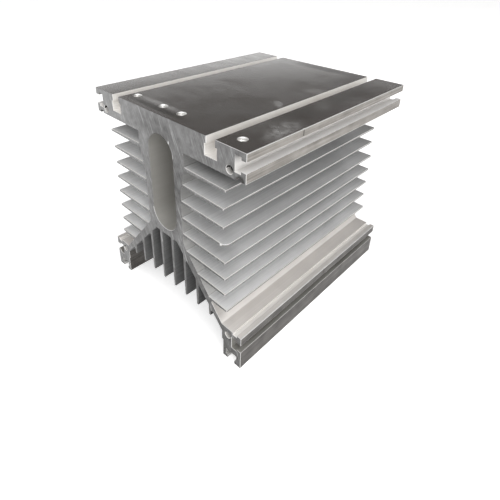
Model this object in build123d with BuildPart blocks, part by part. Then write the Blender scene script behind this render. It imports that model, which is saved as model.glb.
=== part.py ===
"""Extruded aluminium heat sink: a slotted plate on a hollow column, with side fins, splayed legs and feet.

It is one extrusion, cut to length, with its top milled flat and four holes tapped in it.
X runs across the section, Y along the extrusion with the drilled end towards -Y, and Z up.
The origin lies under the middle of the piece, on the plane that the feet stand on.
"""

import os

from build123d import *

# Overall size of the cut piece
WIDTH = 125.0
HEIGHT = 135.0
LENGTH = 147.0

# Rounding that the extrusion has on its inside and its outside corners
INSIDE_RADIUS = 0.8
OUTSIDE_RADIUS = 0.4

# Plate that carries the power modules, with a T-slot each side of its middle
PLATE_THICKNESS = 15.0
TOP_SLOT_SPACING = 80.0
TOP_SLOT_MOUTH = 6.0
TOP_SLOT_ROOM = 8.4
TOP_SLOT_LIP = 4.0
TOP_SLOT_DEPTH = 10.0

# T-slots in the outer edges of the plate and the feet, and under the feet
EDGE_SLOT_MOUTH = 5.4
EDGE_SLOT_ROOM = 8.4
EDGE_SLOT_LIP = 3.2
EDGE_SLOT_DEPTH = 7.1
PLATE_SLOT_COVER = 2.7
FOOT_SLOT_COVER = 4.0
BASE_SLOT_LIP = 2.0
BASE_SLOT_DEPTH = 6.8
BASE_SLOT_INSET = 7.5
FOOT_FLOOR = 4.7

# Screw channels beside the edge slots, which hold the screws of a fan on the end face
CHANNEL_DIAMETER = 4.4
CHANNEL_SIDE_WALL = 0.8
PLATE_CHANNEL_COVER = 1.5
FOOT_CHANNEL_COVER = 2.8

# Shallow grooves under the plate's lips and on top of the feet
GROOVE_WIDTH = 2.9
GROOVE_DEPTH = 1.5

# Column with the round-ended duct through it
DUCT_WIDTH = 21.5
DUCT_HEIGHT = 60.0
DUCT_COVER = 11.0
COLUMN_WALL = 5.0
NECK_FLARE = 3.8
NECK_TAPER = 16.0
NECK_RADIUS = 8.0

# Legs that splay from under the duct to the feet
CROTCH_WALL = 4.3
CROTCH_WIDTH = 20.0
CROTCH_RADIUS = 2.0
LEG_ROOT_DROP = 2.5
LEG_ROOT_RADIUS = 6.0
LEG_END_WALL = 5.3
FOOT_INNER_WALL = 2.6
FOOT_STEP_WIDTH = 1.1
FOOT_STEP_HEIGHT = 12.2

# Fins on the outside, all at one pitch: numbers 2 and 3 stand back a little, the lowest stands out
FIN_PITCH = 10.75
FIN_PLATE_GAP = 8.75
FIN_FOOT_GAP = 12.0
FIN_SPAN = 99.6
STOOD_BACK_FINS = (2, 3)
FIN_SETBACK = 1.3
LOWEST_FIN_EXTRA = 1.5
FIN_ROOT_THICKNESS = 2.0
FIN_TIP_THICKNESS = 1.4

# Fins that hang between the legs, at the same pitch
INNER_FIN_ROOT = 2.2
INNER_FIN_TIP = 1.4
INNER_FIN_STOP = 0.8
INNER_FIN_MARGIN = 3.0

# How far the outline of a fin reaches into the wall that carries it
FIN_BITE = 2.0

# Holes tapped M5 in a row across the drilled end of the plate
THREAD_DRILL = 4.2
THREAD_MOUTH = 5.3
THREAD_MOUTH_ANGLE = 90
THREAD_DEPTH = 8.0
HOLE_ROW_INSET = 9.5
MIDDLE_HOLE_SPACING = 15.5
LEFT_HOLE_FROM_SLOT = 8.0
RIGHT_HOLE_FROM_SLOT = 11.0

# Wear: one fin's rounded corner, and a saw nick in each of two edges
WORN_FIN = 4
WORN_CORNER_RADIUS = 3.6
NICK_WIDTH = 0.7
NICK_DEPTH = 0.5
PLATE_NICK_RUN = 39.5
FOOT_NICK_RUN = 79.0

# Places that follow from the sizes above
HALF_WIDTH = WIDTH / 2
DRILLED_END = -LENGTH / 2
PLATE_BASE = HEIGHT - PLATE_THICKNESS
PLATE_SLOT_HEIGHT = HEIGHT - PLATE_SLOT_COVER - EDGE_SLOT_ROOM / 2
FOOT_SLOT_HEIGHT = BASE_SLOT_DEPTH + FOOT_FLOOR + EDGE_SLOT_ROOM / 2
FOOT_HEIGHT = FOOT_SLOT_HEIGHT + EDGE_SLOT_ROOM / 2 + FOOT_SLOT_COVER
CHANNEL_OFFSET = HALF_WIDTH - EDGE_SLOT_DEPTH - CHANNEL_SIDE_WALL - CHANNEL_DIAMETER / 2
PLATE_CHANNEL_HEIGHT = PLATE_BASE + PLATE_CHANNEL_COVER + CHANNEL_DIAMETER / 2
FOOT_CHANNEL_HEIGHT = FOOT_HEIGHT - FOOT_CHANNEL_COVER - CHANNEL_DIAMETER / 2
GROOVE_OFFSET = HALF_WIDTH - EDGE_SLOT_LIP - GROOVE_WIDTH / 2
COLUMN_SIDE = DUCT_WIDTH / 2 + COLUMN_WALL
NECK_SIDE = COLUMN_SIDE + NECK_FLARE
DUCT_BASE = HEIGHT - DUCT_COVER - DUCT_HEIGHT
LEG_ROOT = DUCT_BASE - LEG_ROOT_DROP
CROTCH_HEIGHT = DUCT_BASE - CROTCH_WALL
CROTCH_SIDE = CROTCH_WIDTH / 2
FOOT_SIDE = CHANNEL_OFFSET - CHANNEL_DIAMETER / 2 - FOOT_INNER_WALL
FOOT_SHOULDER = FOOT_HEIGHT - LEG_END_WALL
LEG_SPLAY = (FOOT_SIDE - COLUMN_SIDE) / (LEG_ROOT - FOOT_HEIGHT)
ROOF_SLOPE = (CROTCH_HEIGHT - FOOT_SHOULDER) / (FOOT_SIDE - CROTCH_SIDE)
FIRST_FIN = PLATE_BASE - FIN_PLATE_GAP
NECK_END = FIRST_FIN - NECK_TAPER
INNER_FIN_END = FOOT_HEIGHT - INNER_FIN_STOP

# Fins fill each side from the plate to the foot, and the roof as far as they still hang clear
fin_room = FIRST_FIN - FIN_FOOT_GAP - FOOT_HEIGHT
fin_count = int(fin_room // FIN_PITCH) + 1
fin_heights = [FIRST_FIN - number * FIN_PITCH for number in range(fin_count)]
roof_room = CROTCH_SIDE + (CROTCH_HEIGHT - INNER_FIN_END) / ROOF_SLOPE - INNER_FIN_MARGIN
inner_fin_count = int(roof_room / FIN_PITCH + 0.5)
inner_fin_places = [(number + 0.5) * FIN_PITCH for number in range(inner_fin_count)]


def outer_face(height):
    """Distance from the middle of the section to the outside of the neck, column or leg at a height."""
    climb = min(max(height - NECK_END, 0), NECK_TAPER)
    fall = max(LEG_ROOT - height, 0)
    return COLUMN_SIDE + climb * NECK_FLARE / NECK_TAPER + fall * LEG_SPLAY


def roof_height(place):
    """Height of the roof between the legs at a distance from the middle of the section."""
    return CROTCH_HEIGHT - max(place - CROTCH_SIDE, 0) * ROOF_SLOPE


def fin_reach(number):
    """Distance from the middle of the section to the tip of a side fin, numbered from 1 at the plate."""
    reach = FIN_SPAN / 2
    if number in STOOD_BACK_FINS:
        reach -= FIN_SETBACK
    if number == fin_count:
        reach += LOWEST_FIN_EXTRA
    return reach


# Profiles of the T-slots, opening upwards with their mouths on the X axis
def slot_outline(mouth, room, lip, depth):
    """Adds the T-slot's face to the sketch in hand."""
    Polygon(
        (-mouth / 2, 0),
        (-mouth / 2, -lip),
        (-room / 2, -lip),
        (-room / 2, -depth),
        (room / 2, -depth),
        (room / 2, -lip),
        (mouth / 2, -lip),
        (mouth / 2, 0),
        align=None,
    )


with BuildSketch() as top_slot:
    slot_outline(TOP_SLOT_MOUTH, TOP_SLOT_ROOM, TOP_SLOT_LIP, TOP_SLOT_DEPTH)

with BuildSketch() as edge_slot:
    slot_outline(EDGE_SLOT_MOUTH, EDGE_SLOT_ROOM, EDGE_SLOT_LIP, EDGE_SLOT_DEPTH)

with BuildSketch() as base_slot:
    slot_outline(EDGE_SLOT_MOUTH, EDGE_SLOT_ROOM, BASE_SLOT_LIP, BASE_SLOT_DEPTH)

with BuildPart() as heat_sink:
    with BuildSketch(Plane.XZ) as section:
        # Right half of the outline, seen from the drilled end
        with BuildLine():
            Polyline(
                (0, HEIGHT),
                (HALF_WIDTH, HEIGHT),
                (HALF_WIDTH, PLATE_BASE),
                (NECK_SIDE, PLATE_BASE),
                (NECK_SIDE, FIRST_FIN),
                (COLUMN_SIDE, NECK_END),
                (COLUMN_SIDE, LEG_ROOT),
                (FOOT_SIDE, FOOT_HEIGHT),
                (HALF_WIDTH, FOOT_HEIGHT),
                (HALF_WIDTH, 0),
                (FOOT_SIDE + FOOT_STEP_WIDTH, 0),
                (FOOT_SIDE + FOOT_STEP_WIDTH, FOOT_STEP_HEIGHT),
                (FOOT_SIDE, FOOT_STEP_HEIGHT),
                (FOOT_SIDE, FOOT_SHOULDER),
                (CROTCH_SIDE, CROTCH_HEIGHT),
                (0, CROTCH_HEIGHT),
                close=True,
            )
        make_face()
        fillet(section.vertices().sort_by_distance((COLUMN_SIDE, NECK_END))[0], NECK_RADIUS)
        fillet(section.vertices().sort_by_distance((COLUMN_SIDE, LEG_ROOT))[0], LEG_ROOT_RADIUS)
        fillet(section.vertices().sort_by_distance((CROTCH_SIDE, CROTCH_HEIGHT))[0], CROTCH_RADIUS)

        # Side fins, thinner towards their tips
        for number, height in enumerate(fin_heights, start=1):
            root = outer_face(height) - FIN_BITE
            tip = fin_reach(number)
            Polygon(
                (root, height + FIN_ROOT_THICKNESS / 2),
                (tip, height + FIN_TIP_THICKNESS / 2),
                (tip, height - FIN_TIP_THICKNESS / 2),
                (root, height - FIN_ROOT_THICKNESS / 2),
                align=None,
            )

        # Fins under the roof, all ending level
        for middle in inner_fin_places:
            root = roof_height(middle) + FIN_BITE
            Polygon(
                (middle - INNER_FIN_ROOT / 2, root),
                (middle + INNER_FIN_ROOT / 2, root),
                (middle + INNER_FIN_TIP / 2, INNER_FIN_END),
                (middle - INNER_FIN_TIP / 2, INNER_FIN_END),
                align=None,
            )
        mirror(about=Plane.YZ)

        # Growing and shrinking it again rounds the inside corners, shrinking and growing the outside ones
        offset(amount=INSIDE_RADIUS, mode=Mode.REPLACE)
        offset(amount=-INSIDE_RADIUS - OUTSIDE_RADIUS, mode=Mode.REPLACE)
        offset(amount=OUTSIDE_RADIUS, mode=Mode.REPLACE)

        # Slots, grooves and screw channels of both halves
        for side in (-1, 1):
            with Locations((side * TOP_SLOT_SPACING / 2, HEIGHT)):
                add(top_slot.sketch, mode=Mode.SUBTRACT)
            with Locations((side * HALF_WIDTH, PLATE_SLOT_HEIGHT), (side * HALF_WIDTH, FOOT_SLOT_HEIGHT)):
                add(edge_slot.sketch, rotation=-90 * side, mode=Mode.SUBTRACT)
            with Locations((side * (HALF_WIDTH - BASE_SLOT_INSET), 0)):
                add(base_slot.sketch, rotation=180, mode=Mode.SUBTRACT)
            with Locations((side * GROOVE_OFFSET, PLATE_BASE)):
                Rectangle(GROOVE_WIDTH, GROOVE_DEPTH, align=(Align.CENTER, Align.MIN), mode=Mode.SUBTRACT)
            with Locations((side * GROOVE_OFFSET, FOOT_HEIGHT)):
                Rectangle(GROOVE_WIDTH, GROOVE_DEPTH, align=(Align.CENTER, Align.MAX), mode=Mode.SUBTRACT)
            for height in (PLATE_CHANNEL_HEIGHT, FOOT_CHANNEL_HEIGHT):
                with Locations((side * CHANNEL_OFFSET, height)):
                    Circle(CHANNEL_DIAMETER / 2, mode=Mode.SUBTRACT)

        # Duct up the middle of the column
        with Locations((0, DUCT_BASE + DUCT_HEIGHT / 2)):
            SlotOverall(DUCT_HEIGHT, DUCT_WIDTH, rotation=90, mode=Mode.SUBTRACT)
    extrude(amount=LENGTH / 2, both=True)

    # Tapped holes in the top, drilled and countersunk for their threads
    left_hole = -TOP_SLOT_SPACING / 2 + LEFT_HOLE_FROM_SLOT
    right_hole = TOP_SLOT_SPACING / 2 + RIGHT_HOLE_FROM_SLOT
    hole_row = (left_hole, -MIDDLE_HOLE_SPACING / 2, MIDDLE_HOLE_SPACING / 2, right_hole)
    with Locations(*[(place, DRILLED_END + HOLE_ROW_INSET, HEIGHT) for place in hole_row]):
        CounterSinkHole(THREAD_DRILL / 2, THREAD_MOUTH / 2, THREAD_DEPTH, THREAD_MOUTH_ANGLE)

    # Corner of one right-hand fin, worn round at the drilled end
    worn_tip = fin_reach(WORN_FIN)
    worn_height = FIRST_FIN - (WORN_FIN - 1) * FIN_PITCH
    with BuildSketch(Plane.XY.offset(worn_height - FIN_PITCH / 2)):
        with Locations((worn_tip, DRILLED_END)):
            Rectangle(WORN_CORNER_RADIUS, WORN_CORNER_RADIUS, align=(Align.MAX, Align.MIN))
        with Locations((worn_tip - WORN_CORNER_RADIUS, DRILLED_END + WORN_CORNER_RADIUS)):
            Circle(WORN_CORNER_RADIUS, mode=Mode.SUBTRACT)
    extrude(amount=FIN_PITCH, mode=Mode.SUBTRACT)

    # Saw nicks across the right-hand lips above the edge slots
    for top, slot_height, run in (
        (HEIGHT, PLATE_SLOT_HEIGHT, PLATE_NICK_RUN),
        (FOOT_HEIGHT, FOOT_SLOT_HEIGHT, FOOT_NICK_RUN),
    ):
        nick = DRILLED_END + run
        with BuildSketch(Plane.XY.offset(slot_height)):
            Polygon(
                (HALF_WIDTH, nick - NICK_WIDTH / 2),
                (HALF_WIDTH - NICK_DEPTH, nick),
                (HALF_WIDTH, nick + NICK_WIDTH / 2),
                align=None,
            )
        extrude(amount=top - slot_height, mode=Mode.SUBTRACT)

heat_sink.part.label = "heat_sink"

os.makedirs("parts", exist_ok=True)
export_step(heat_sink.part, "parts/heat_sink.step")
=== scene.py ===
"""Extruded aluminium heat sink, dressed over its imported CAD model.

The piece is one extrusion, cut to length, milled flat on top and tapped, so its skin is one section
outline carried along Y, closed by its two sawn ends, three milled lands and four threaded holes.
Sizes are in millimetres until a mesh is written, in the CAD's own frame: X across the section,
Y along the extrusion with the drilled end towards -Y, and Z up from the plane that the feet stand on.
"""

import logging
import math
from dataclasses import dataclass, field
from enum import Enum, IntEnum
from typing import Any

import bmesh
import bpy
import numpy as np
from bpy.types import ID, Material, Node, NodeSocket, NodeTree, Object, World
from mathutils import Matrix, Vector
from mathutils.geometry import tessellate_polygon


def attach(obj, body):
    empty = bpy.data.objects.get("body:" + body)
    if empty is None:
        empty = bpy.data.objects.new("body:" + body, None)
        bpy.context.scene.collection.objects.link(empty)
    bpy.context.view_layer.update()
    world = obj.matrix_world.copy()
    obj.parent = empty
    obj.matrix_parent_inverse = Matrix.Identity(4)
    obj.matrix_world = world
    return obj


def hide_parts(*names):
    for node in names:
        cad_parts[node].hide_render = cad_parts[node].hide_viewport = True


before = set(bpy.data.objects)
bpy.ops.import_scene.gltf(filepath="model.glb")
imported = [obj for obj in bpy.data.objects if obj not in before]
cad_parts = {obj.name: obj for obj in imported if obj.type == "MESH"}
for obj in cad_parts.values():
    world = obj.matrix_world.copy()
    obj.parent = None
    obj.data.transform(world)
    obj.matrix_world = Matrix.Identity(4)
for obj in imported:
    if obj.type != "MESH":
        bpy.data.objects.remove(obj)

LOG = logging.getLogger("heat_sink")
NODE = "heat_sink"
MM = 0.001
ALLOY = "aluminium_6063"
# Pale film of the brightening marks: wipe marks and chips, and painted glints
HAZE_AND_GLINT = "#e6e6e4"
# Stretches of a noise: nearly all of it, the part over which the gloss changes, and the part over
# which a coarse line becomes a scratch
NOISE_RANGE = {"From Min": 0.34, "From Max": 0.66}
GLOSS_RANGE = {"From Min": 0.3, "From Max": 0.7}
SCRATCH_RANGE = {"From Min": 0.58, "From Max": 0.7}
# Lengths in millimetres: one that allows for rounding, and one that tells a face from the arcs beside it
HAIR = 0.001
NEAR = 1.0


def linear(colour: str) -> tuple[float, float, float, float]:
    """Turns an sRGB hex colour into the linear colour that shaders take.

    Args:
        colour: Six hex digits with a leading hash sign.

    Returns:
        Red, green, blue and an alpha of one: each channel over 12.92 below 0.04045, and
        ((channel + 0.055) / 1.055) to the power 2.4 above it.
    """
    channels = [int(colour[start : start + 2], 16) / 255 for start in (1, 3, 5)]
    red, green, blue = (c / 12.92 if c <= 0.04045 else ((c + 0.055) / 1.055) ** 2.4 for c in channels)
    return red, green, blue, 1.0


def add_node(tree: NodeTree, kind: str, inputs: dict[Any, Any] | None = None, **settings: Any) -> Node:
    """Adds a node with its settings and links.

    Args:
        tree: Node tree that takes the node.
        kind: Blender's name of the node type, without the word ShaderNode before it.
        inputs: Values or other nodes' outputs, by the name or number of the input they go to.
        settings: Properties of the node itself.

    Returns:
        The new node.
    """
    made = tree.nodes.new("ShaderNode" + kind)
    for name, value in settings.items():
        setattr(made, name, value)
    for name, value in (inputs or {}).items():
        if isinstance(value, NodeSocket):
            tree.links.new(value, made.inputs[name])
        else:
            made.inputs[name].default_value = value
    return made


def empty_tree(owner: Material | World) -> NodeTree:
    """Gives a material or a world a node tree with nothing in it.

    Args:
        owner: The material or world.

    Returns:
        Its node tree.
    """
    owner.use_nodes = True
    owner.node_tree.nodes.clear()
    return owner.node_tree


def placed(name: str, data: ID) -> Object:
    """Puts a mesh, light or camera into the scene.

    Args:
        name: Name of the new object.
        data: What it shows.

    Returns:
        The object, at the origin.
    """
    made = bpy.data.objects.new(name, data)
    bpy.context.scene.collection.objects.link(made)
    return made


class Surface(IntEnum):
    """Make, age and painted light and shade of a face of the skin, in the order of the piece's material
    slots.
    """

    WALL = 0
    FIN = 1
    TIP = 2
    UNDER = 3
    SAWN = 4
    MILLED = 5
    SLOT = 6
    DUCT = 7
    EDGE = 8
    THREAD = 9
    LIP = 10
    FOOT_LIP = 11
    FOOT = 12
    SIDE_SLOT = 13
    FOOT_SLOT = 14
    BURR = 15


class Streaks(Enum):
    """Direction in which a finish's fine lines run, as turns about X, Y and Z in degrees."""

    ALONG = (0.0, 0.0, 0.0)
    SAW_STROKE = (0.0, -68.0, 0.0)
    FEED = (0.0, 0.0, 8.0)


@dataclass(frozen=True)
class Mark:
    """Soft-edged mark on a finish, an ellipse in millimetres.

    A positive strength is a pale film, which stands for wipe marks, chips and painted glints, and a
    negative one a darker patch, which stands for stains and painted shade. It is turned about Z by so many
    degrees, and broken up by a fine noise as far as speckle says.
    """

    place: tuple[float, float, float]
    size: tuple[float, float, float]
    strength: float
    turn: float = 0.0
    speckle: float = 0.5


@dataclass(frozen=True)
class Finish:
    """One aluminium surface: two tones mixed by fine lines and soft clouds, with its own gloss and relief.

    Lengths are in millimetres. A line is spacing wide and run long, and lies as streaks says. The bright
    tone's share is level at the origin, strays by mottle each way, and drifts by so much a metre along
    X, Y and Z. A finish with scratches has sparse bright ones along its lines, coarser than these. A
    mark is solid out to its core, a share of its size, and its specks are drawn at a grain that shows,
    because the real ones are finer than the render's pixels.
    """

    name: str
    bright: str
    dull: str
    roughness: tuple[float, float]
    spacing: float = 0.9
    run: float = 90.0
    streaks: Streaks = Streaks.ALONG
    relief: float = 0.01
    cloud: float = 22.0
    cloud_share: float = 0.5
    metallic: float = 1.0
    level: float = 0.5
    mottle: float = 0.5
    drift: tuple[float, float, float] = (0.0, 0.0, 0.0)
    scratches: float = 0.0
    scratch_coarseness: float = 1.7
    marks: tuple[Mark, ...] = ()
    mark_core: float = 0.2
    mark_grain: float = 3.4

    def lines(self, tree: NodeTree, place: NodeSocket, coarse: float = 1.0) -> NodeSocket:
        """Builds fine lines, a noise squeezed to the line spacing across and drawn out to its run.

        Args:
            tree: Node tree of the material.
            place: Object coordinates.
            coarse: How many times wider and longer than the finish's own lines.

        Returns:
            Noise between zero and one.
        """
        turn = tuple(math.radians(angle) for angle in self.streaks.value)
        turned = add_node(tree, "Mapping", {"Vector": place, "Rotation": turn}).outputs[0]
        across, along = 1 / (coarse * self.spacing * MM), 1 / (coarse * self.run * MM)
        scale = {
            Streaks.ALONG: (across, along, across),
            Streaks.SAW_STROKE: (along, across, across),
            Streaks.FEED: (along, across, along),
        }[self.streaks]
        squeezed = add_node(tree, "Mapping", {"Vector": turned, "Scale": scale}).outputs[0]
        noise = {"Vector": squeezed, "Scale": 1.0, "Detail": 3.0, "Roughness": 0.6}
        return add_node(tree, "TexNoise", noise).outputs["Fac"]

    def dirt_and_light_marks(self, tree: NodeTree, place: NodeSocket, brightening: bool) -> NodeSocket | float:
        """Adds up the finish's marks of one kind.

        Args:
            tree: Node tree of the material.
            place: Object coordinates.
            brightening: True for pale marks (wipe marks, chips, painted glints), False for dark ones.

        Returns:
            Sum of the marks' strengths. Each fades from its core to its edge, and is broken up by a
            fine noise as far as its speckle says.
        """
        total: NodeSocket | float = 0.0
        for mark in self.marks:
            if (mark.strength > 0) is not brightening:
                continue
            middle, half = (tuple(value * MM for value in sizes) for sizes in (mark.place, mark.size))
            turn = (0, 0, -math.radians(mark.turn))
            moved = add_node(tree, "VectorMath", {0: place, 1: middle}, operation="SUBTRACT").outputs[0]
            turned = add_node(tree, "Mapping", {"Vector": moved, "Rotation": turn}).outputs[0]
            shrunk = add_node(tree, "VectorMath", {0: turned, 1: half}, operation="DIVIDE").outputs[0]
            away = add_node(tree, "VectorMath", {0: shrunk}, operation="LENGTH").outputs["Value"]
            fading = {"Value": away, "From Min": self.mark_core, "To Min": abs(mark.strength), "To Max": 0}
            fade = add_node(tree, "MapRange", fading, interpolation_type="SMOOTHSTEP").outputs[0]
            noise = {"Vector": place, "Scale": 1 / (self.mark_grain * MM), "Detail": 3.0, "Roughness": 0.65}
            grain = add_node(tree, "TexNoise", noise).outputs["Fac"]
            breaking = {"Value": grain, "To Min": 1 - mark.speckle}
            broken = add_node(tree, "MapRange", breaking | NOISE_RANGE).outputs[0]
            faded_mark = add_node(tree, "Math", {0: fade, 1: broken}, operation="MULTIPLY").outputs[0]
            total = add_node(tree, "Math", {0: faded_mark, 1: total}, operation="ADD").outputs[0]
        return total

    def share(self, tree: NodeTree, place: NodeSocket, blend: NodeSocket) -> NodeSocket:
        """Works out the bright tone's share.

        Args:
            tree: Node tree of the material.
            place: Object coordinates.
            blend: The lines and clouds.

        Returns:
            The level, plus what the blend, the drift and the scratches add, less the dark marks.
        """
        straying = {"Value": blend, "To Min": self.level - self.mottle, "To Max": self.level + self.mottle}
        stray = add_node(tree, "MapRange", straying | NOISE_RANGE).outputs[0]
        drift = add_node(tree, "VectorMath", {0: place, 1: self.drift}, operation="DOT_PRODUCT")
        made = add_node(tree, "Math", {0: stray, 1: drift.outputs["Value"]}, operation="ADD").outputs[0]
        if self.scratches:
            coarse = self.lines(tree, place, self.scratch_coarseness)
            scratching = {"Value": coarse, "To Max": self.scratches}
            strokes = add_node(tree, "MapRange", scratching | SCRATCH_RANGE).outputs[0]
            made = add_node(tree, "Math", {0: made, 1: strokes}, operation="ADD").outputs[0]
        dark = self.dirt_and_light_marks(tree, place, brightening=False)
        return add_node(tree, "Math", {0: made, 1: dark}, operation="SUBTRACT", use_clamp=True).outputs[0]

    def material(self) -> Material:
        """Builds the finish.

        Returns:
            A metal whose tone and roughness follow the lines and the clouds, with the lines as relief.
            Pale marks lie on it as a film, which isn't metal: wipe marks, chips, and painted glints.
        """
        made = bpy.data.materials.new(f"{ALLOY}_{self.name}")
        tree = empty_tree(made)
        place = add_node(tree, "TexCoord").outputs["Object"]
        lines = self.lines(tree, place)
        noise = {"Vector": place, "Scale": 1 / (self.cloud * MM), "Detail": 2.0}
        clouds = add_node(tree, "TexNoise", noise).outputs["Fac"]
        mixing = {0: self.cloud_share, 2: lines, 3: clouds}
        blend = add_node(tree, "Mix", mixing, data_type="FLOAT").outputs[0]
        tones = {0: self.share(tree, place, blend), 6: linear(self.dull), 7: linear(self.bright)}
        tone = add_node(tree, "Mix", tones, data_type="RGBA").outputs[2]
        metal: NodeSocket | float = self.metallic
        if any(mark.strength > 0 for mark in self.marks):
            haze_and_glint = self.dirt_and_light_marks(tree, place, brightening=True)
            tone = add_node(tree, "Mix", {0: haze_and_glint, 6: tone, 7: linear(HAZE_AND_GLINT)}, data_type="RGBA").outputs[2]
            bare = {0: self.metallic, 1: haze_and_glint}
            metal = add_node(tree, "Math", bare, operation="SUBTRACT", use_clamp=True).outputs[0]
        smooth, rough = self.roughness
        shining = {"Value": blend, "To Min": rough, "To Max": smooth}
        gloss = add_node(tree, "MapRange", shining | GLOSS_RANGE).outputs[0]
        raised = {"Height": lines, "Strength": 1.0, "Distance": self.relief * MM}
        bump = add_node(tree, "Bump", raised).outputs[0]
        metal_inputs = {"Base Color": tone, "Metallic": metal, "Roughness": gloss, "Normal": bump}
        shader = add_node(tree, "BsdfPrincipled", metal_inputs).outputs[0]
        add_node(tree, "OutputMaterial", {"Surface": shader})
        return made


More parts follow.
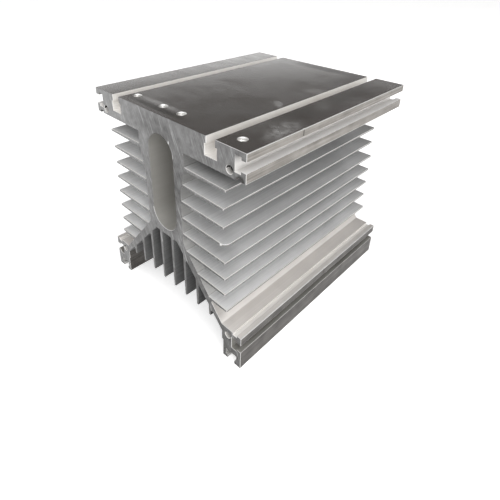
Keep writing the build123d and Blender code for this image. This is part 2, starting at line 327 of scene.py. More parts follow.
FINISHES: dict[Surface, Finish] = {
    # Aluminium 6063 as it leaves the die: matte grey, with fine die lines, and darker towards the plate,
    # which is painted shade
    Surface.WALL: Finish(
        "mill_finish_wall", "#d8d7d4", "#828180", (0.44, 0.56), relief=0.006,
        metallic=0.35, level=0.69, mottle=0.08, drift=(0, 0, -5),
    ),
    # Flats of the side fins: paler low down and towards the drilled end, which is painted light, with two
    # marks of painted shade at the front
    Surface.FIN: Finish(
        "mill_finish_fin", "#eeeeee", "#aaaaaa", (0.44, 0.56), relief=0.008,
        metallic=0.35, level=1.08, mottle=0.18, drift=(0, -2.6, -6),
        marks=(
            # Painted shade on the top fin under the plate
            Mark((34, -61, 112), (27, 9, 4), -0.6, speckle=0.1),
            # Painted shade over the front of the lower fins
            Mark((36, -71, 60), (44, 15, 46), -0.35, speckle=0.1),
        ),
    ),
    # Tips of the fins below their bright upper arc: greyer, which is painted shade
    Surface.TIP: Finish(
        "mill_finish_painted_shade_tip", "#8f8e8c", "#716f6d", (0.36, 0.5), spacing=0.4, run=40, relief=0.004
    ),
    # Under the roof between the legs: painted shade, dull grey and hardly shining, darker towards the
    # fins' ends and to the right
    Surface.UNDER: Finish(
        "painted_shade_under_roof", "#989897", "#4c4c4c", (0.55, 0.7), spacing=0.8, relief=0.006,
        metallic=0.4, level=0.0, mottle=0.15, drift=(-4, 0, 9),
    ),
    # The same metal cut by a toothed saw: greyer, mottled, with sparse steep strokes that catch the light
    Surface.SAWN: Finish(
        "sawn_end", "#a6a6a6", "#484746", (0.4, 0.6), spacing=0.7, run=12, streaks=Streaks.SAW_STROKE,
        relief=0.02, cloud=3, cloud_share=0.4, level=0.26, mottle=0.15, drift=(-3, 0, 2), scratches=0.5,
        marks=(
            Mark((4, -73.5, 96), (26, 9, 48), -0.26, speckle=0.2),
            Mark((-6, -73.5, 127), (30, 9, 9), -0.18, speckle=0.2),
            Mark((-32, -73.5, 46), (24, 9, 24), -0.14, speckle=0.2),
            Mark((30, -73.5, 50), (24, 9, 22), -0.12, speckle=0.2),
            # Painted shade at the groove under the plate's right edge
            Mark((58.8, -73.5, 121), (3.4, 3, 2.8), -0.7, speckle=0),
            # Painted glints on a burr at the duct's right rim
            Mark((10.6, -73.5, 114.4), (0.9, 2, 2), 1.4, speckle=0),
            Mark((8, -73.5, 121.7), (0.7, 2, 1.4), 1.0, speckle=0),
        ),
    ),
    # Face-milled top: nearly a mirror, which shows the dark room above it through soft wipe marks
    Surface.MILLED: Finish(
        "face_milled", "#e6e5e4", "#a6a5a4", (0.12, 0.24), spacing=0.6, run=40, streaks=Streaks.FEED,
        relief=0.002, cloud=18, cloud_share=0.6, level=0.8, mottle=0.22,
        marks=(
            Mark((-12, -63, 135), (30, 3.2, 9), 0.3, speckle=0.4),
            Mark((-8, -68.3, 135), (34, 3.2, 9), -1.0, speckle=0.2),
            Mark((31.5, 19, 135), (8, 8, 9), 0.16, turn=-30),
            Mark((32, -16, 135), (8, 3.5, 9), 0.3, turn=-45),
            Mark((50, 0, 135), (7, 13, 9), 0.14, turn=20, speckle=0.9),
            Mark((57, -43, 135), (9, 21, 9), 0.32, turn=14, speckle=0.8),
            Mark((46, -44, 135), (10, 22, 9), 0.08, speckle=0.9),
            Mark((50, -10, 135), (14, 44, 9), -0.4, speckle=0.3),
            Mark((54, 62, 135), (11, 6, 9), 0.08, speckle=0.6),
            Mark((32, 54, 135), (13, 34, 9), -0.5, speckle=0.2),
            Mark((4, 68, 135), (36, 7, 9), -0.9, speckle=0.3),
            Mark((48, 34, 135), (16, 34, 9), -0.5, speckle=0.2),
        ),
    ),
    # Inside of the T-slots, never milled: whitish and matte
    Surface.SLOT: Finish("mill_finish_slot", "#f4f2ef", "#e4e1dd", (0.5, 0.6), metallic=0.3),
    # Inside of the plate's edge slots: the same, greyed in their upper half by painted shade under the lip
    Surface.SIDE_SLOT: Finish(
        "mill_finish_side_slot", "#f0eeec", "#5e5d5c", (0.5, 0.6),
        metallic=0.3, level=21.4, mottle=0.08, drift=(0, 0, -160),
    ),
    # Inside of the feet's edge slots: darker still, which is painted shade
    Surface.FOOT_SLOT: Finish("mill_finish_foot_slot", "#a09e99", "#7c7a75", (0.5, 0.6), metallic=0.3),
    # Inside of the duct: smooth from the mandrel, and paler away from the drilled end, which is painted
    # light
    Surface.DUCT: Finish(
        "mill_finish_duct", "#d0cec9", "#86847f", (0.45, 0.55), spacing=2.2, run=110, relief=0.004,
        metallic=0.3, level=1.2, mottle=0.05, drift=(0, 11, 0),
    ),
    # Edges broken by the saw and the mill: bright bare metal, which also serves as a painted highlight on
    # the fins' upper tip arcs and on the rims that face the light
    Surface.EDGE: Finish("broken_edge_and_highlight", "#e6e5e3", "#cfcecc", (0.3, 0.42), spacing=0.4, run=3),
    # Burr that the saw left along the fins' upper edges: a thin whitish line, partly a painted highlight
    Surface.BURR: Finish("saw_burr_painted_highlight", "#e6e4e1", "#d6d4d1", (0.4, 0.5), spacing=0.4, run=3, metallic=0.2),
    # Freshly tapped threads: bright and smooth
    Surface.THREAD: Finish(
        "tapped_thread", "#f6f5f3", "#eceae7", (0.28, 0.38), spacing=0.4, run=3,
        streaks=Streaks.FEED, relief=0.005,
    ),
    # Outer faces of the plate's lips: darker and warmer, which is painted shade and a painted dark
    # reflection
    Surface.LIP: Finish(
        "mill_finish_painted_shade_lip", "#a09c97", "#76726d", (0.36, 0.5), run=60,
        relief=0.015, cloud=9, cloud_share=0.35,
    ),
    # Sides and bottoms of the feet: darker still, which is painted shade and a painted dark reflection. The
    # same finish paints the shade on the feet's inner sides, in the groove under the plate, inside the
    # screw channels and in the plate's saw nick
    Surface.FOOT_LIP: Finish(
        "mill_finish_painted_shade_foot_side", "#686562", "#3f3d3b", (0.36, 0.5), run=60,
        relief=0.015, cloud=9, cloud_share=0.35,
    ),
    # Tops of the feet: matte and warm, with hardly a line, and paler towards the drilled end, which is
    # painted light
    Surface.FOOT: Finish(
        "mill_finish_foot", "#dfdbd7", "#a9a5a1", (0.48, 0.58), spacing=0.8, run=120, relief=0.006,
        metallic=0.4, level=0.82, mottle=0.18, drift=(0, -0.86, 0),
        marks=(
            Mark((62, -3.5, 25), (1.2, 4, 2), 0.9, speckle=1),
            Mark((62, 7, 25), (1.2, 2, 2), 0.9, speckle=1),
            # Painted shade under the lowest fin, where the leg meets the foot at the front
            Mark((45, -74, 31), (12, 10, 8), -0.8, speckle=0.1),
        ),
    ),
}


@dataclass
class Patch:
    """Part of the skin: points in millimetres, faces that number them, and each face's surface."""

    points: np.ndarray
    faces: list[list[int]]
    surfaces: np.ndarray


def grid_faces(rows: int, columns: int, closed: bool) -> np.ndarray:
    """Numbers the quads of a grid whose points count on along each row.

    Args:
        rows: Points down the grid.
        columns: Points along a row.
        closed: True where the last point of a row meets the first.

    Returns:
        Quad (i, j) joins points (i, j), (i, j + 1), (i + 1, j + 1) and (i + 1, j).
    """
    row = np.arange(rows - 1)[:, None] * columns
    first = np.arange(columns if closed else columns - 1)[None, :]
    second = (first + 1) % columns
    quads = np.stack((row + first, row + second, row + columns + second, row + columns + first), axis=-1)
    return quads.reshape(-1, 4)


def rounded(corners: np.ndarray, steps: int) -> np.ndarray:
    """Rounds every corner of a closed outline.

    Args:
        corners: One row a corner: across, up and radius.
        steps: Points on each arc.

    Returns:
        The outline's points. With u and v the unit vectors to the two neighbours and h half the angle
        between them, an arc's centre lies radius / sin(h) along the bisector, and the arc runs from the
        tangent point on u to the one on v at evenly spaced angles about that centre.
    """
    place, radius = corners[:, :2], corners[:, 2:3]
    back = np.roll(place, 1, axis=0) - place
    ahead = np.roll(place, -1, axis=0) - place
    back /= np.linalg.norm(back, axis=1, keepdims=True)
    ahead /= np.linalg.norm(ahead, axis=1, keepdims=True)
    half = np.arccos(np.clip((back * ahead).sum(axis=1, keepdims=True), -1, 1)) / 2
    bisector = back + ahead
    bisector /= np.linalg.norm(bisector, axis=1, keepdims=True)
    centre = place + bisector * radius / np.sin(half)
    start = place + back * radius / np.tan(half) - centre
    end = place + ahead * radius / np.tan(half) - centre
    angle = np.arctan2(start[:, 1], start[:, 0])
    sweep = np.arctan2(end[:, 1], end[:, 0]) - angle
    sweep = (sweep + np.pi) % (2 * np.pi) - np.pi
    angles = angle[:, None] + sweep[:, None] * np.linspace(0, 1, steps)[None, :]
    arcs = centre[:, None, :] + radius[:, None] * np.stack((np.cos(angles), np.sin(angles)), axis=-1)
    return arcs.reshape(-1, 2)


def inset(loop: np.ndarray, amount: float) -> np.ndarray:
    """Moves a closed outline into the metal, which lies to the right of its direction.

    Args:
        loop: Points of the outline.
        amount: Distance that each edge moves.

    Returns:
        The points, each moved along the bisector of its two edges' right-hand normals by amount over
        the cosine of half the turn between them.
    """
    edge = np.roll(loop, -1, axis=0) - loop
    edge /= np.linalg.norm(edge, axis=1, keepdims=True)
    normal = np.stack((edge[:, 1], -edge[:, 0]), axis=-1)
    both = normal + np.roll(normal, 1, axis=0)
    return loop + both * amount * 2 / (both * both).sum(axis=1, keepdims=True)


@dataclass
class Section:
    """Outline of the extrusion, seen from the drilled end. Sizes are the CAD model's."""

    width: float = 125.0
    height: float = 135.0
    inside_radius: float = 0.8
    outside_radius: float = 0.4
    broken_radius: float = 0.15
    plate: float = 15.0
    top_slot_spacing: float = 80.0
    top_slot: tuple[float, float, float, float] = (6.0, 8.4, 4.0, 10.0)
    edge_slot: tuple[float, float, float, float] = (5.4, 8.4, 3.2, 7.1)
    base_slot: tuple[float, float, float, float] = (5.4, 8.4, 2.0, 6.8)
    base_slot_inset: float = 7.5
    plate_slot_cover: float = 2.7
    foot_slot_cover: float = 4.0
    foot_floor: float = 4.7
    channel: float = 4.4
    channel_side_wall: float = 0.8
    plate_channel_cover: float = 1.5
    foot_channel_cover: float = 2.8
    groove: tuple[float, float] = (2.9, 1.5)
    duct: tuple[float, float] = (21.5, 60.0)
    duct_cover: float = 11.0
    column_wall: float = 5.0
    neck_flare: float = 3.8
    neck_taper: float = 16.0
    neck_radius: float = 8.0
    crotch: tuple[float, float, float] = (4.3, 20.0, 2.0)
    leg_root_drop: float = 2.5
    leg_root_radius: float = 6.0
    leg_end_wall: float = 5.3
    foot_inner_wall: float = 2.6
    foot_step: tuple[float, float] = (1.1, 12.2)
    fin_pitch: float = 10.75
    fin_plate_gap: float = 8.75
    fin_count: int = 8
    fin_span: float = 99.6
    fin_setback: tuple[float, ...] = (0.0, 1.3, 1.3, 0.0, 0.0, 0.0, 0.0, -1.5)
    fin_thickness: tuple[float, float] = (2.0, 1.4)
    fin_bite: float = 2.0
    inner_fin_count: int = 4
    inner_fin_thickness: tuple[float, float] = (2.2, 1.4)
    inner_fin_stop: float = 0.8
    arc_steps: int = 6
    ring_steps: int = 128
    duct_side_steps: int = 47

    def __post_init__(self) -> None:
        """Works out the places that follow from the sizes."""
        self.half = self.width / 2
        self.plate_base = self.height - self.plate
        self.plate_slot_height = self.height - self.plate_slot_cover - self.edge_slot[1] / 2
        self.foot_slot_height = self.base_slot[3] + self.foot_floor + self.edge_slot[1] / 2
        self.foot_height = self.foot_slot_height + self.edge_slot[1] / 2 + self.foot_slot_cover
        self.channel_offset = self.half - self.edge_slot[3] - self.channel_side_wall - self.channel / 2
        self.groove_offset = self.half - self.edge_slot[2] - self.groove[0] / 2
        self.column_side = self.duct[0] / 2 + self.column_wall
        self.neck_side = self.column_side + self.neck_flare
        self.duct_base = self.height - self.duct_cover - self.duct[1]
        self.leg_root = self.duct_base - self.leg_root_drop
        self.crotch_height = self.duct_base - self.crotch[0]
        self.crotch_side = self.crotch[1] / 2
        self.foot_side = self.channel_offset - self.channel / 2 - self.foot_inner_wall
        self.foot_shoulder = self.foot_height - self.leg_end_wall
        self.splay = (self.foot_side - self.column_side) / (self.leg_root - self.foot_height)
        self.roof_slope = (self.crotch_height - self.foot_shoulder) / (self.foot_side - self.crotch_side)
        self.first_fin = self.plate_base - self.fin_plate_gap
        self.neck_end = self.first_fin - self.neck_taper
        self.fin_heights = self.first_fin - self.fin_pitch * np.arange(self.fin_count)
        self.fin_tips = self.fin_span / 2 - np.array(self.fin_setback)
        self.fin_radii = (self.inside_radius, self.outside_radius, self.outside_radius, self.inside_radius)

    def outer_face(self, height: np.ndarray) -> np.ndarray:
        """Works out the outside of the neck, the column and the leg.

        Args:
            height: Heights.

        Returns:
            Distance from the middle at each height: the column's, plus an even flare up the neck and
            an even splay down the leg.
        """
        climb = np.clip(height - self.neck_end, 0, self.neck_taper)
        fall = np.maximum(self.leg_root - height, 0)
        return self.column_side + climb * self.neck_flare / self.neck_taper + fall * self.splay

    def roof(self, place: np.ndarray) -> np.ndarray:
        """Height of the roof between the legs at a distance from the middle."""
        return self.crotch_height - np.maximum(place - self.crotch_side, 0) * self.roof_slope

    def t_slot(self, sizes: tuple[float, float, float, float]) -> np.ndarray:
        """Corners of a T-slot that opens upwards, from the left of its mouth to the right.

        Args:
            sizes: Mouth, room, lip and depth.

        Returns:
            Across, up and radius of its eight corners.
        """
        mouth, room, lip, depth = sizes
        across = np.array([-mouth, -mouth, -room, -room, room, room, mouth, mouth]) / 2
        up = -np.array([0, lip, lip, depth, depth, lip, lip, 0])
        return np.stack((across, up, np.full(8, self.broken_radius)), axis=-1)

    def groove_corners(self) -> np.ndarray:
        """Corners of a shallow groove that opens upwards, from left to right.

        Returns:
            Across, up and radius of its four corners.
        """
        across = np.array([-1, -1, 1, 1]) * self.groove[0] / 2
        up = np.array([0, -1, -1, 0]) * self.groove[1]
        return np.stack((across, up, np.full(4, self.broken_radius)), axis=-1)

    def side_fins(self) -> np.ndarray:
        """Corners of the side fins from the plate down: two at the wall and two at the tip of each.

        Returns:
            Across, up and radius. A fin narrows evenly from its root, behind the wall, to its tip.
        """
        root_half, tip_half = (thickness / 2 for thickness in self.fin_thickness)
        height, tip = self.fin_heights[:, None], self.fin_tips[:, None]
        start = self.outer_face(height) - self.fin_bite
        side = np.array([[1.0, -1.0]])
        wall = self.outer_face(height + side * root_half)
        half = root_half - (root_half - tip_half) * (wall - start) / (tip - start)
        wall_up, tip_up = height + side * half, height + side * tip_half
        across = np.stack((wall[:, 0], self.fin_tips, self.fin_tips, wall[:, 1]), axis=-1)
        up = np.stack((wall_up[:, 0], tip_up[:, 0], tip_up[:, 1], wall_up[:, 1]), axis=-1)
        return np.stack((across, up, np.broadcast_to(self.fin_radii, across.shape)), axis=-1)

    def inner_fins(self) -> np.ndarray:
        """Corners of the fins under the roof, from the outermost to the middle.

        Returns:
            Across, up and radius of two corners at the roof and two at the tip of each fin.
        """
        root_half, tip_half = (thickness / 2 for thickness in self.inner_fin_thickness)
        middle = (np.arange(self.inner_fin_count)[::-1] + 0.5) * self.fin_pitch
        end = np.full(self.inner_fin_count, self.foot_height - self.inner_fin_stop)
        right, left = self.roof(middle + root_half), self.roof(middle - root_half)
        across = middle[:, None] + (root_half, tip_half, -tip_half, -root_half)
        up = np.stack((right, end, end, left), axis=-1)
        return np.stack((across, up, np.broadcast_to(self.fin_radii, across.shape)), axis=-1)

    def corners(self) -> np.ndarray:
        """Lists the corners of the whole outline, clockwise from the top's middle.

        Returns:
            Across, up and radius: the right half in order, then its mirror image in reverse.
        """
        inside, outside, broken = self.inside_radius, self.outside_radius, self.broken_radius

        def at(shape: np.ndarray, across: float, up: float, turn: float = 0.0) -> np.ndarray:
            """Turns a shape clockwise by quarter turns and moves it to its place.

            Args:
                shape: Corners about the origin.
                across: Place from the middle.
                up: Place above the base.
                turn: Angle in radians.

            Returns:
                The shape's corners in the section.
            """
            cos, sin = round(math.cos(turn)), round(math.sin(turn))
            x, z = shape[:, 0] * cos + shape[:, 1] * sin, shape[:, 1] * cos - shape[:, 0] * sin
            return np.stack((x + across, z + up, shape[:, 2]), axis=-1)

        def bend(across: float, up: float, radius: float) -> np.ndarray:
            """One corner by itself."""
            return np.array([[across, up, radius]])

        fins, hanging = self.side_fins(), self.inner_fins()
        quarter, half_turn = math.pi / 2, math.pi
        step_side = self.foot_side + self.foot_step[0]
        right = np.concatenate(
            (
                at(self.t_slot(self.top_slot), self.top_slot_spacing / 2, self.height),
                bend(self.half, self.height, outside),
                at(self.t_slot(self.edge_slot), self.half, self.plate_slot_height, quarter),
                bend(self.half, self.plate_base, outside),
                at(self.groove_corners(), self.groove_offset, self.plate_base, half_turn),
                bend(self.neck_side, self.plate_base, inside),
                fins[:2].reshape(-1, 3),
                bend(self.column_side, self.neck_end, self.neck_radius),
                fins[2:5].reshape(-1, 3),
                bend(self.column_side, self.leg_root, self.leg_root_radius),
                fins[5:].reshape(-1, 3),
                bend(self.foot_side, self.foot_height, inside),
                at(self.groove_corners(), self.groove_offset, self.foot_height),
                bend(self.half, self.foot_height, outside),
                at(self.t_slot(self.edge_slot), self.half, self.foot_slot_height, quarter),
                bend(self.half, 0.0, outside),
                at(self.t_slot(self.base_slot), self.half - self.base_slot_inset, 0.0, half_turn),
                bend(step_side, 0.0, outside),
                bend(step_side, self.foot_step[1], broken),
                bend(self.foot_side, self.foot_step[1], outside),
                bend(self.foot_side, self.foot_shoulder, inside),
                hanging[:3].reshape(-1, 3),
                bend(self.crotch_side, self.crotch_height, self.crotch[2]),
                hanging[3:].reshape(-1, 3),
            )
        )
        return np.concatenate((right, right[::-1] * (-1, 1, 1)))

    def outline(self) -> np.ndarray:
        """Points of the outline, clockwise."""
        return rounded(self.corners(), self.arc_steps)

    def holes(self) -> list[np.ndarray]:
        """Builds the outlines of the duct and the screw channels.

        Returns:
            Loops that run anticlockwise, so that the metal lies to their right as well. The duct's is
            two half circles, each about its own centre, and the two straight sides between them in even
            steps. A channel's is one circle.
        """
        angles = (np.arange(self.ring_steps) + 0.5) * 2 * np.pi / self.ring_steps
        ring = np.stack((np.cos(angles), np.sin(angles)), axis=-1)
        radius, straight = self.duct[0] / 2, (self.duct[1] - self.duct[0]) / 2
        middle = self.duct_base + self.duct[1] / 2
        sides = straight * np.linspace(1, -1, self.duct_side_steps + 2)[1:-1, None] * (0, 1)
        arcs = ring[::2] * radius + np.sign(ring[::2, 1:]) * straight * (0, 1)
        upper, lower = np.split(arcs, 2)
        loops = [np.concatenate((upper, sides - (radius, 0), lower, (radius, 0) - sides)) + (0, middle)]
        channel_heights = (
            self.plate_base + self.plate_channel_cover + self.channel / 2,
            self.foot_height - self.foot_channel_cover - self.channel / 2,
        )
        for side in (-1, 1):
            for height in channel_heights:
                loops.append(ring[::4] * self.channel / 2 + (side * self.channel_offset, height))
        return loops


@dataclass
class TappedHole:
    """Threaded hole in the top: a bright countersunk mouth over a cut thread."""

    across: float
    along: float
    drill: float = 4.2
    mouth: float = 5.3
    major: float = 5.0
    pitch: float = 0.8
    depth: float = 8.0
    point: float = 1.2
    columns: int = 32
    pitch_steps: int = 8

    def mouth_loop(self) -> np.ndarray:
        """Lays out the mouth.

        Returns:
            Its points in the plane of the top, across and along.
        """
        angle = np.linspace(0, 2 * np.pi, self.columns, endpoint=False)
        ring = np.stack((np.cos(angle), np.sin(angle)), axis=-1) * self.mouth / 2
        return ring + (self.across, self.along)

    def skin(self, top: float) -> Patch:
        """Builds the hole's wall on a grid of depth and angle.

        Args:
            top: Height of the milled face.

        Returns:
            The mouth's cone, the thread and the drill's point, closed at its tip. The thread's radius
            at an angle and a depth is the drill's radius, plus the thread's depth times a triangle wave
            of depth over pitch less angle over a full turn, faded in and out at its ends.
        """
        angle = np.linspace(0, 2 * np.pi, self.columns, endpoint=False)[None, :]
        sink = (self.mouth - self.drill) / 2
        full = self.depth - self.point
        turns = np.arange(sink, full, self.pitch / self.pitch_steps)[:, None]
        wave = 1 - np.abs(2 * ((turns / self.pitch - angle / (2 * np.pi)) % 1) - 1)
        fade = np.clip((turns - sink) / self.pitch, 0, 1) * np.clip((full - turns) / self.pitch, 0, 1)
        thread = self.drill / 2 + (self.major - self.drill) / 2 * wave * fade
        level = np.ones_like(angle)
        radius = np.concatenate((level * self.mouth / 2, thread, level * self.drill / 2))
        depth = np.concatenate((level * 0, turns * level, level * full))
        around = (self.across + radius * np.cos(angle), self.along + radius * np.sin(angle), top - depth)
        points = np.stack(around, axis=-1).reshape(-1, 3)
        quads = grid_faces(len(radius), self.columns, True)
        last = len(points) - self.columns + np.arange(self.columns)
        tip = np.full(self.columns, len(points))
        fan = np.stack((last, np.roll(last, -1), tip), axis=-1)
        points = np.concatenate((points, [[self.across, self.along, top - self.depth]]))
        surfaces = np.full(len(quads) + len(fan), Surface.THREAD)
        surfaces[: self.columns] = Surface.EDGE
        return Patch(points, quads.tolist() + fan.tolist(), surfaces)


@dataclass
class Extrusion:
    """The cut, milled and tapped length of section, as one closed skin.

    Sizes are in millimetres, apart from the weld in metres and the angle of a sharp edge in degrees. A
    fin's finish starts at its reach out from the wall, and the foot's starts on the leg, at its reach
    inwards from the foot. The flats' weight, at its most, lets large faces rule the shading.
    """

    section: Section = field(default_factory=Section)
    length: float = 147.0
    break_edge: float = 0.15
    hole_row_inset: float = 9.5
    hole_places: tuple[float, ...] = (-32.0, -7.75, 7.75, 51.0)
    worn_fin: int = 4
    worn_radius: float = 3.6
    worn_steps: int = 9
    nick: tuple[float, float] = (0.7, 0.5)
    nick_runs: tuple[float, float] = (39.5, 79.0)
    mouth_depth: float = 2.3
    burr: float = 0.5
    fin_reach: float = 0.1
    foot_reach: float = 15.0
    weld: float = 1e-7
    sharp_angle: float = 30.0
    flats_weight: int = 100

    def __post_init__(self) -> None:
        """Places the drilled end, the stations along the extrusion and the holes."""
        start = self.drilled_end = -self.length / 2
        turn = np.linspace(0, np.pi / 2, self.worn_steps)
        worn = start + self.worn_radius * (1 - np.cos(turn))
        nicks = start + np.add.outer(self.nick_runs, np.array([-0.5, 0, 0.5]) * self.nick[0]).ravel()
        ends = np.array([start, start + self.break_edge, -start - self.break_edge, -start])
        self.stations = np.sort(np.concatenate((ends, worn[worn > ends[1]], nicks)))
        self.depths = (self.stations[:-1] - start)[:, None]
        row = start + self.hole_row_inset
        self.holes = [TappedHole(place, row) for place in self.hole_places]

    def carried(self, loop: np.ndarray) -> np.ndarray:
        """Carries a loop along Y through the stations, drawn in by the broken edge at both ends.

        Args:
            loop: Outline in the plane of the section.

        Returns:
            Points by station and place on the loop.
        """
        drawn_in = inset(loop, self.break_edge)
        rings = np.repeat(loop[None], len(self.stations), axis=0)
        rings[0] = rings[-1] = drawn_in
        along = np.broadcast_to(self.stations[:, None], rings.shape[:2])
        return np.stack((rings[..., 0], along, rings[..., 1]), axis=-1)

    def worn(self, points: np.ndarray) -> np.ndarray:
        """Rounds off the worn fin's corner at the drilled end.

        Args:
            points: Carried outline.

        Returns:
            The points, with the fin's tip drawn back by the gap between a square corner and a quarter
            circle of the worn radius.
        """
        height = self.section.fin_heights[self.worn_fin - 1]
        tip = self.section.fin_tips[self.worn_fin - 1]
        run = np.minimum(points[..., 1] - self.drilled_end, self.worn_radius)
        gap = self.worn_radius - np.sqrt(self.worn_radius**2 - (self.worn_radius - run) ** 2)
        across, up = points[..., 0], points[..., 2]
        at_tip = (np.abs(up - height) < self.section.fin_thickness[0]) & (across > tip - NEAR)
        points[..., 0] -= np.where(at_tip & (across < tip + HAIR), gap, 0)
        return points

    def nicked(self, points: np.ndarray) -> np.ndarray:
        """Cuts the two saw nicks into the right-hand lips above the edge slots.

        Args:
            points: Carried outline.

        Returns:
            The points, moved inwards at each nick by its depth less an even slope to nothing at its sides.
        """
        shape = self.section
        across, along, up = np.moveaxis(points, -1, 0)
        lips = ((shape.plate_slot_height, shape.height), (shape.foot_slot_height, shape.foot_height))
        for run, (low, high) in zip(self.nick_runs, lips):
            distance = np.abs(along - self.drilled_end - run) / (self.nick[0] / 2)
            cut = self.nick[1] * np.clip(1 - distance, 0, 1)
            lip = (across > shape.half - NEAR) & (up > low) & (up <= high + HAIR)
            points[..., 0] -= np.where(lip, cut, 0)
        return points

    def surfaces_of(self, loop: np.ndarray) -> np.ndarray:
        """Says how each edge of the outline was made.

        Args:
            loop: Points of the outline.

        Returns:
            A surface for the edge from each point to the next.
        """
        shape = self.section
        ahead = np.roll(loop, -1, axis=0)
        side, up = np.abs((loop[:, 0] + ahead[:, 0]) / 2), (loop[:, 1] + ahead[:, 1]) / 2
        made = np.full(len(loop), Surface.WALL)
        root, tip = (thickness / 2 for thickness in shape.fin_thickness)
        for height, end in zip(shape.fin_heights, shape.fin_tips):
            outside = (side > shape.outer_face(up) + self.fin_reach) & (side < end + HAIR)
            on_fin = outside & (np.abs(up - height) < root + HAIR)
            at_tip = on_fin & (side > end - shape.outside_radius)
            at_upper_edge = up > height + tip - shape.outside_radius
            made[on_fin] = Surface.FIN
            # A tip's upper arc takes the bright edge, a painted highlight, and the rest the darker tip,
            # painted shade
            made[at_tip] = np.where(at_upper_edge, Surface.EDGE, Surface.TIP)[at_tip]
        from_slot = np.minimum(np.abs(up - shape.plate_slot_height), np.abs(up - shape.foot_slot_height))
        in_groove = np.abs(side - shape.groove_offset) < shape.groove[0] / 2 + HAIR
        outermost = side > shape.half - HAIR
        below_fins = up < shape.fin_heights[-1] - root - shape.inside_radius
        below_groove = up < shape.foot_height - shape.groove[1] - HAIR
        under_roof = (up < shape.roof(side) + NEAR) & (side < shape.foot_side + shape.foot_step[0] + HAIR)
        in_top_slot = np.abs(side - shape.top_slot_spacing / 2) < shape.top_slot[1] / 2 + HAIR
        in_edge_slot = (from_slot < shape.edge_slot[1] / 2 + HAIR) & ~outermost
        in_edge_slot &= side > shape.half - shape.edge_slot[3] - HAIR
        edge_slot_finish = np.where(up > shape.plate_base, Surface.SIDE_SLOT, Surface.FOOT_SLOT)
        under_plate = (up > shape.plate_base + HAIR) & (up < shape.plate_base + shape.groove[1] + HAIR)
        on_top = np.minimum(loop[:, 1], ahead[:, 1]) > shape.height - HAIR
        # Where two of these hold for one edge, the later one counts
        rules = (
            (below_fins & (side > shape.foot_side - self.foot_reach), Surface.FOOT),
            # The foot's groove takes the pale slot finish, painted light against the shade in it
            (in_groove & (up < shape.foot_height - HAIR), Surface.SLOT),
            (below_groove & (side > shape.foot_side), Surface.WALL),
            (up < HAIR, Surface.FOOT_LIP),
            # Under the roof, both dark finishes are painted shade
            (under_roof, np.where(side < shape.foot_side - HAIR, Surface.UNDER, Surface.FOOT_LIP)),
            # The outer faces' darker finishes are painted shade and a painted dark reflection
            (outermost, np.where(up > shape.foot_height, Surface.LIP, Surface.FOOT_LIP)),
            (in_top_slot & (up > shape.height - shape.top_slot[3] - HAIR), Surface.SLOT),
            (in_edge_slot, edge_slot_finish),
            # Painted shade in the groove under the plate
            (under_plate & in_groove, Surface.FOOT_LIP),
            ((side > shape.half - shape.outside_radius) & ~outermost, Surface.EDGE),
            (up > shape.height - shape.outside_radius, Surface.EDGE),
            (on_top & (np.linalg.norm(ahead - loop, axis=1) > NEAR), Surface.MILLED),
        )
        for where, surface in rules:
            made = np.where(where, surface, made)
        return made

    def rimmed(self, surfaces: np.ndarray, bright: np.ndarray | bool) -> np.ndarray:
        """Repeats a loop's surfaces along the extrusion, with the edges that the saw broke at both ends.

        Args:
            surfaces: Surface of each edge of the loop.
            bright: True where the broken edge catches the light.

        Returns:
            Surfaces by station and edge.
        """
        made = np.repeat(surfaces[None], len(self.depths), axis=0)
        made[[0, -1]] = np.where(bright, Surface.EDGE, Surface.SAWN)
        return made

    def outside(self, outline: np.ndarray, surfaces: np.ndarray) -> np.ndarray:
        """Adds to the outline's surfaces what changes along the extrusion.

        Args:
            outline: Points of the outline.
            surfaces: Surface of each edge of the outline.

        Returns:
            Surfaces by station and edge, with the broken edges, the plate's nick, the worn corner and
            the burr along the fins' upper edges.
        """
        shape = self.section
        across, up = outline.T
        middle = (up + np.roll(up, -1)) / 2
        # Rims that face away from the light stay sawn; the bright edge on the others is partly a painted
        # highlight
        dull = np.isin(surfaces, (Surface.WALL, Surface.UNDER))
        dull |= (surfaces == Surface.MILLED) & (across < shape.top_slot_spacing / 2)
        dull |= (surfaces == Surface.FOOT_LIP) & (up > shape.foot_height)
        dull |= (surfaces == Surface.SIDE_SLOT) & (middle > shape.plate_slot_height - HAIR)
        nicked = np.abs(self.depths + self.nick[0] / 4 - self.nick_runs[0]) < self.nick[0] / 2
        lip = (surfaces == Surface.LIP) & (across > 0) & (up > shape.plate_slot_height)
        worn = self.depths < self.worn_radius - self.break_edge
        tip = np.abs(up - shape.fin_heights[self.worn_fin - 1]) < shape.fin_thickness[1]
        tip &= (across > 0) & (surfaces == Surface.EDGE)
        upper = (surfaces == Surface.FIN) & (np.roll(across, -1) > across + NEAR)
        made = self.rimmed(surfaces, ~dull)
        # Painted shade in the plate's saw nick
        made[nicked & lip] = Surface.FOOT_LIP
        made[worn & tip] = Surface.FIN
        # The burr's whitish line is partly a painted highlight
        made[(self.depths < self.burr) & upper] = Surface.BURR
        return made

    def lining(self, loop: np.ndarray, duct: bool) -> np.ndarray:
        """Says what lines the duct or a screw channel.

        Args:
            loop: Points of the bore.
            duct: True for the duct, False for a channel.

        Returns:
            Surfaces by station and edge. The duct's rim is bright below, partly a painted highlight. A
            channel is dark inside, which is painted shade, apart from the lower half of its mouth, pale
            with painted light.
        """
        if duct:
            # The duct's bright lower rim is partly a painted highlight
            low = loop[:, 1] < self.section.duct_base + self.section.duct[0] / 2
            return self.rimmed(np.full(len(loop), Surface.DUCT), low)
        # A channel's dark lining is painted shade, and its pale lower mouth is painted light
        made = self.rimmed(np.full(len(loop), Surface.FOOT_LIP), True)
        made[(self.depths < self.mouth_depth) & (loop[:, 1] < loop[:, 1].mean())] = Surface.SLOT
        return made

